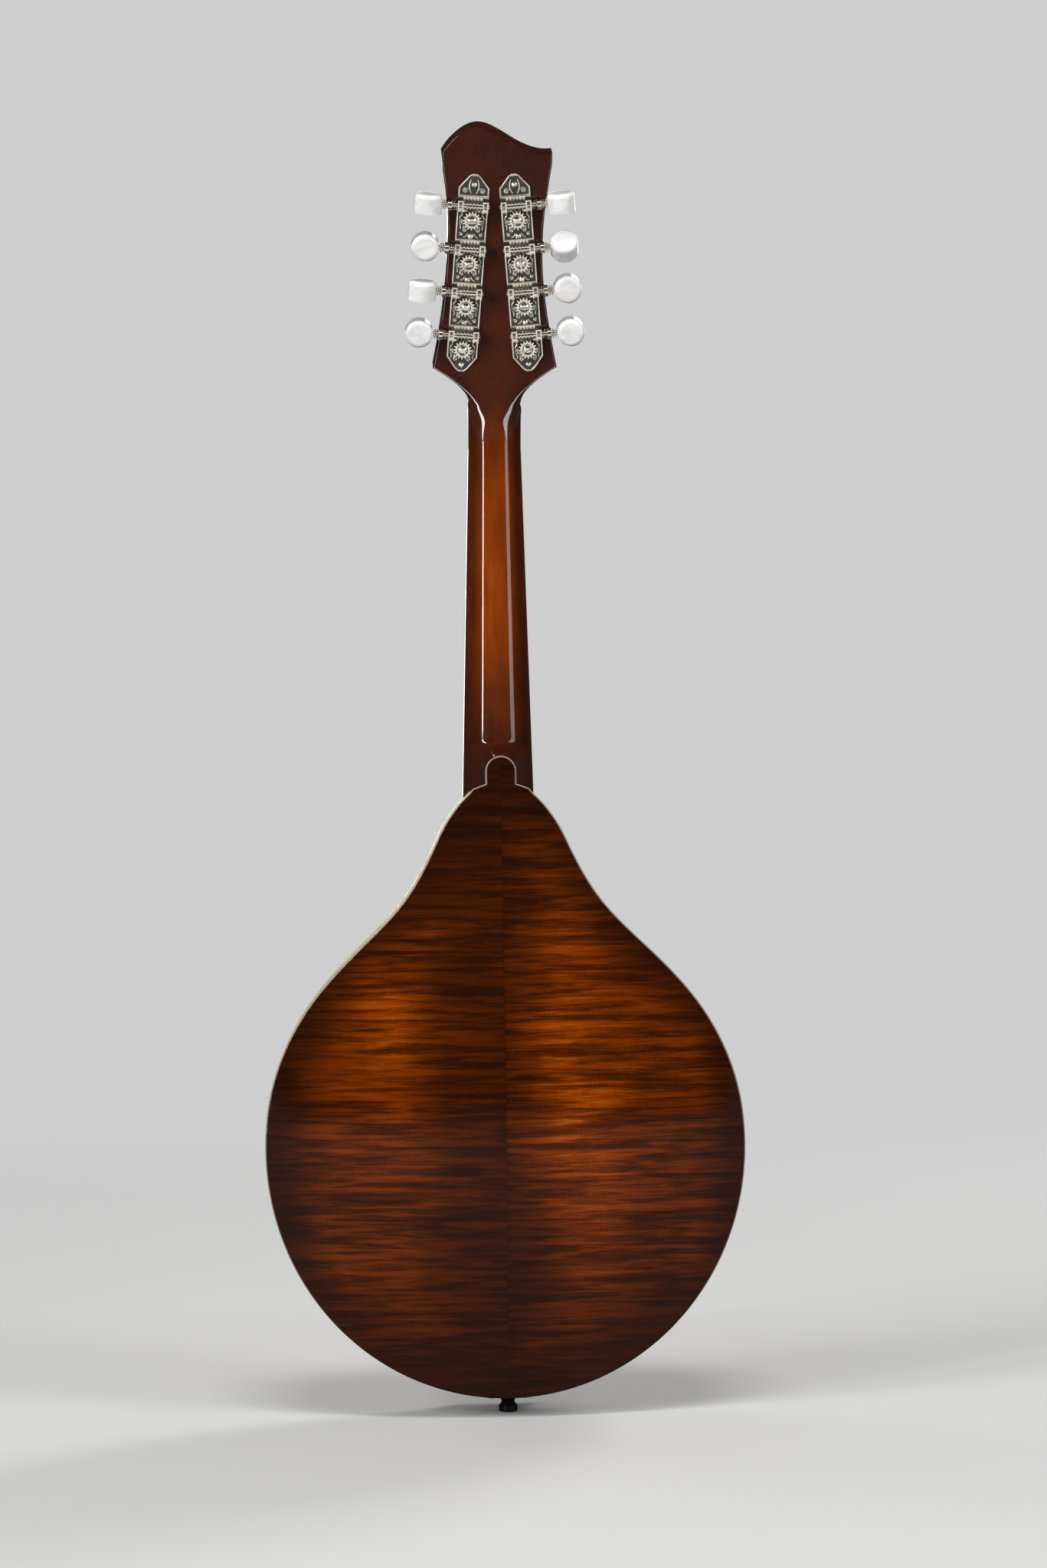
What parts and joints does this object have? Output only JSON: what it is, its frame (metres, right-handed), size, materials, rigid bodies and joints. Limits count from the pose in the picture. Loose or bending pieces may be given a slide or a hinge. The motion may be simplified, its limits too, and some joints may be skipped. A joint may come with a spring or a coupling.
{
  "type": "mandolin",
  "caption": "Carved A-style mandolin with f-holes, bound top, adjustable bridge, slide-off tailpiece cover and open worm-gear tuning machines with round buttons.",
  "frame": {"origin": "centre of the strap pin's head at the tail end, on the body's centre line and half-way through the ribs", "axes": "+Z from the tail up the neck to the headstock, -Y out of the soundboard and strings, +Y out of the back, +X to the treble side"},
  "size_m": [0.254, 0.1126, 0.6826],
  "materials": {
    "back_maple": "gloss",
    "neck_maple": "gloss",
    "top_spruce": "gloss",
    "lining_wood": "matt",
    "block_wood": "matt",
    "board_wood": "satin",
    "bridge_wood": "satin",
    "black_veneer": "gloss",
    "ivory_binding": "gloss",
    "bone": "satin",
    "pearl": "gloss",
    "pearloid": "gloss",
    "black_plastic": "gloss",
    "nickel": "polished",
    "nickel_silver": "polished",
    "rod_steel": "satin",
    "brass": "satin",
    "bronze_string": "wound",
    "plain_string": "bright"
  },
  "bodies": {
    "instrument": {"back_plate": "back_maple", "soundboard": "top_spruce", "ribs": "back_maple", "linings": "lining_wood", "neck_block": "block_wood", "tail_block": "block_wood", "tone_bars": "top_spruce", "body_binding": "ivory_binding", "neck": "neck_maple", "headstock_veneer": "black_veneer", "fingerboard": "board_wood", "fingerboard_binding": "ivory_binding", "frets": "nickel_silver", "fret_markers": "pearl", "nut": "bone", "truss_rod": "rod_steel", "truss_rod_cover": "black_plastic", "truss_cover_screws": "nickel", "bridge_base": "bridge_wood", "bridge_posts": "brass", "tailpiece_base": "nickel", "tailpiece_screws": "nickel", "end_pin": "black_plastic", "strings_g": "bronze_string", "strings_d": "bronze_string", "strings_a": "plain_string", "strings_e": "plain_string", "tuner_plate_bass": "nickel", "tuner_plate_treble": "nickel", "tuner_plate_screws": "nickel", "tuner_bushings": "nickel"},
    "truss_nut": {"truss_rod_nut": "brass"},
    "saddle": {"bridge_saddle": "bridge_wood"},
    "wheel_bass": {"thumbwheel_bass": "brass"},
    "wheel_treble": {"thumbwheel_treble": "brass"},
    "cover": {"tailpiece_cover": "nickel"},
    "key_g1": {"worm_shaft_g1": "nickel", "button_g1": "pearloid"},
    "post_g1": {"string_post_g1": "nickel"},
    "key_g2": {"worm_shaft_g2": "nickel", "button_g2": "pearloid"},
    "post_g2": {"string_post_g2": "nickel"},
    "key_d1": {"worm_shaft_d1": "nickel", "button_d1": "pearloid"},
    "post_d1": {"string_post_d1": "nickel"},
    "key_d2": {"worm_shaft_d2": "nickel", "button_d2": "pearloid"},
    "post_d2": {"string_post_d2": "nickel"},
    "key_e1": {"worm_shaft_e1": "nickel", "button_e1": "pearloid"},
    "post_e1": {"string_post_e1": "nickel"},
    "key_e2": {"worm_shaft_e2": "nickel", "button_e2": "pearloid"},
    "post_e2": {"string_post_e2": "nickel"},
    "key_a1": {"worm_shaft_a1": "nickel", "button_a1": "pearloid"},
    "post_a1": {"string_post_a1": "nickel"},
    "key_a2": {"worm_shaft_a2": "nickel", "button_a2": "pearloid"},
    "post_a2": {"string_post_a2": "nickel"}
  },
  "joints": [
    {"name": "truss_nut_turn", "type": "hinge", "parent": "instrument", "child": "truss_nut", "pos_m": [0, -0.00885, 0.52385], "axis": [0, 0.0958, 0.9954], "range_deg": [-180, 180]},
    {"name": "saddle_lift", "type": "slide", "parent": "instrument", "child": "saddle", "axis": [0, -1, 0], "range_m": [-0.0016, 0.0016], "deforming": ["strings_g", "strings_d", "strings_a", "strings_e"]},
    {"name": "wheel_bass_turn", "type": "hinge", "parent": "saddle", "child": "wheel_bass", "pos_m": [-0.0265, -0.0468, 0.1625], "axis": [0, -1, 0], "range_deg": [-720, 720]},
    {"name": "wheel_treble_turn", "type": "hinge", "parent": "saddle", "child": "wheel_treble", "pos_m": [0.0265, -0.0468, 0.1625], "axis": [0, -1, 0], "range_deg": [-720, 720]},
    {"name": "tailpiece_cover_slide", "type": "slide", "parent": "instrument", "child": "cover", "axis": [0, 0, -1], "range_m": [0, 0.075]},
    {"name": "key_turn_g1", "type": "hinge", "parent": "instrument", "child": "key_g1", "pos_m": [-0.03277, 0.0244, 0.57162], "axis": [-0.997, 0.026, 0.0733], "continuous": true},
    {"name": "post_turn_g1", "type": "hinge", "parent": "instrument", "child": "post_g1", "pos_m": [-0.0172, 0.02016, 0.56385], "axis": [0, 0.9426, -0.3338], "continuous": true},
    {"name": "key_turn_g2", "type": "hinge", "parent": "instrument", "child": "key_g2", "pos_m": [-0.03098, 0.03206, 0.59324], "axis": [-0.997, 0.026, 0.0733], "continuous": true},
    {"name": "post_turn_g2", "type": "hinge", "parent": "instrument", "child": "post_g2", "pos_m": [-0.01541, 0.02782, 0.58547], "axis": [0, 0.9426, -0.3338], "continuous": true},
    {"name": "key_turn_d1", "type": "hinge", "parent": "instrument", "child": "key_d1", "pos_m": [-0.02919, 0.03971, 0.61485], "axis": [-0.997, 0.026, 0.0733], "continuous": true},
    {"name": "post_turn_d1", "type": "hinge", "parent": "instrument", "child": "post_d1", "pos_m": [-0.01362, 0.03547, 0.60708], "axis": [0, 0.9426, -0.3338], "continuous": true},
    {"name": "key_turn_d2", "type": "hinge", "parent": "instrument", "child": "key_d2", "pos_m": [-0.0274, 0.04736, 0.63647], "axis": [-0.997, 0.026, 0.0733], "continuous": true},
    {"name": "post_turn_d2", "type": "hinge", "parent": "instrument", "child": "post_d2", "pos_m": [-0.01183, 0.04313, 0.6287], "axis": [0, 0.9426, -0.3338], "continuous": true},
    {"name": "key_turn_e1", "type": "hinge", "parent": "instrument", "child": "key_e1", "pos_m": [0.03277, 0.0244, 0.57162], "axis": [0.997, 0.026, 0.0733], "continuous": true},
    {"name": "post_turn_e1", "type": "hinge", "parent": "instrument", "child": "post_e1", "pos_m": [0.0172, 0.02016, 0.56385], "axis": [0, 0.9426, -0.3338], "continuous": true},
    {"name": "key_turn_e2", "type": "hinge", "parent": "instrument", "child": "key_e2", "pos_m": [0.03098, 0.03206, 0.59324], "axis": [0.997, 0.026, 0.0733], "continuous": true},
    {"name": "post_turn_e2", "type": "hinge", "parent": "instrument", "child": "post_e2", "pos_m": [0.01541, 0.02782, 0.58547], "axis": [0, 0.9426, -0.3338], "continuous": true},
    {"name": "key_turn_a1", "type": "hinge", "parent": "instrument", "child": "key_a1", "pos_m": [0.02919, 0.03971, 0.61485], "axis": [0.997, 0.026, 0.0733], "continuous": true},
    {"name": "post_turn_a1", "type": "hinge", "parent": "instrument", "child": "post_a1", "pos_m": [0.01362, 0.03547, 0.60708], "axis": [0, 0.9426, -0.3338], "continuous": true},
    {"name": "key_turn_a2", "type": "hinge", "parent": "instrument", "child": "key_a2", "pos_m": [0.0274, 0.04736, 0.63647], "axis": [0.997, 0.026, 0.0733], "continuous": true},
    {"name": "post_turn_a2", "type": "hinge", "parent": "instrument", "child": "post_a2", "pos_m": [0.01183, 0.04313, 0.6287], "axis": [0, 0.9426, -0.3338], "continuous": true}
  ],
  "couplings": [
    {"joint": "wheel_bass_turn", "follows": "saddle_lift", "rad_per_m": 7854},
    {"joint": "wheel_treble_turn", "follows": "saddle_lift", "rad_per_m": 7854},
    {"joint": "post_turn_g1", "follows": "key_turn_g1", "ratio": -0.0625},
    {"joint": "post_turn_g2", "follows": "key_turn_g2", "ratio": -0.0625},
    {"joint": "post_turn_d1", "follows": "key_turn_d1", "ratio": -0.0625},
    {"joint": "post_turn_d2", "follows": "key_turn_d2", "ratio": -0.0625},
    {"joint": "post_turn_e1", "follows": "key_turn_e1", "ratio": -0.0625},
    {"joint": "post_turn_e2", "follows": "key_turn_e2", "ratio": -0.0625},
    {"joint": "post_turn_a1", "follows": "key_turn_a1", "ratio": -0.0625},
    {"joint": "post_turn_a2", "follows": "key_turn_a2", "ratio": -0.0625}
  ]
}
